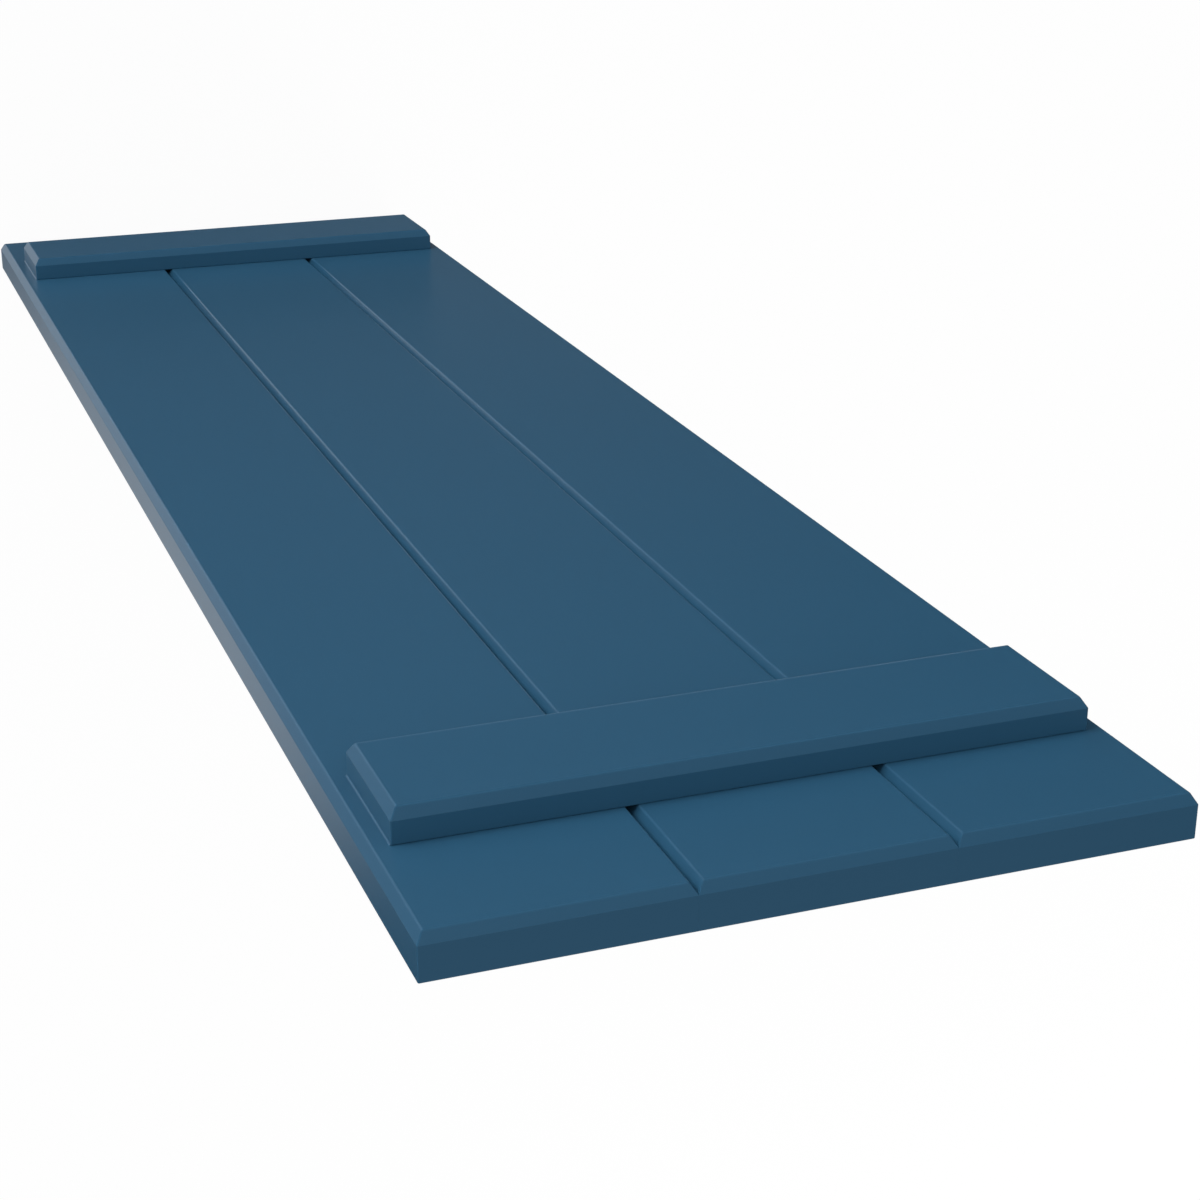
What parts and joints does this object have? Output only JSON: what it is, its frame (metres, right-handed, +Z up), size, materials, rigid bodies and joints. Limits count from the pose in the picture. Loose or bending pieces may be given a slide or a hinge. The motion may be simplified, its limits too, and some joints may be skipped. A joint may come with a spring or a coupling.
{
  "type": "board and batten shutter",
  "caption": "Board and batten window shutter: chamfered upright boards butted edge to edge, held by a chamfered batten across the front near each end, screwed from the back.",
  "frame": {"origin": "middle of the flat back face, which lies against the wall", "axes": "+Z up the shutter along its boards, +Y out of its back into the wall, +X across it, to the right as seen from the front; the decorated front looks along -Y"},
  "size_m": [0.4096, 0.0444, 1.4732],
  "materials": {
    "blue_satin_paint": "satin",
    "screw_steel": "satin"
  },
  "bodies": {
    "root": {"board_left": "blue_satin_paint", "board_middle": "blue_satin_paint", "board_right": "blue_satin_paint", "batten_top": "blue_satin_paint", "batten_bottom": "blue_satin_paint", "top_screw_1": "screw_steel", "top_screw_2": "screw_steel", "top_screw_3": "screw_steel", "top_screw_4": "screw_steel", "top_screw_5": "screw_steel", "top_screw_6": "screw_steel", "bottom_screw_1": "screw_steel", "bottom_screw_2": "screw_steel", "bottom_screw_3": "screw_steel", "bottom_screw_4": "screw_steel", "bottom_screw_5": "screw_steel", "bottom_screw_6": "screw_steel"}
  },
  "joints": []
}
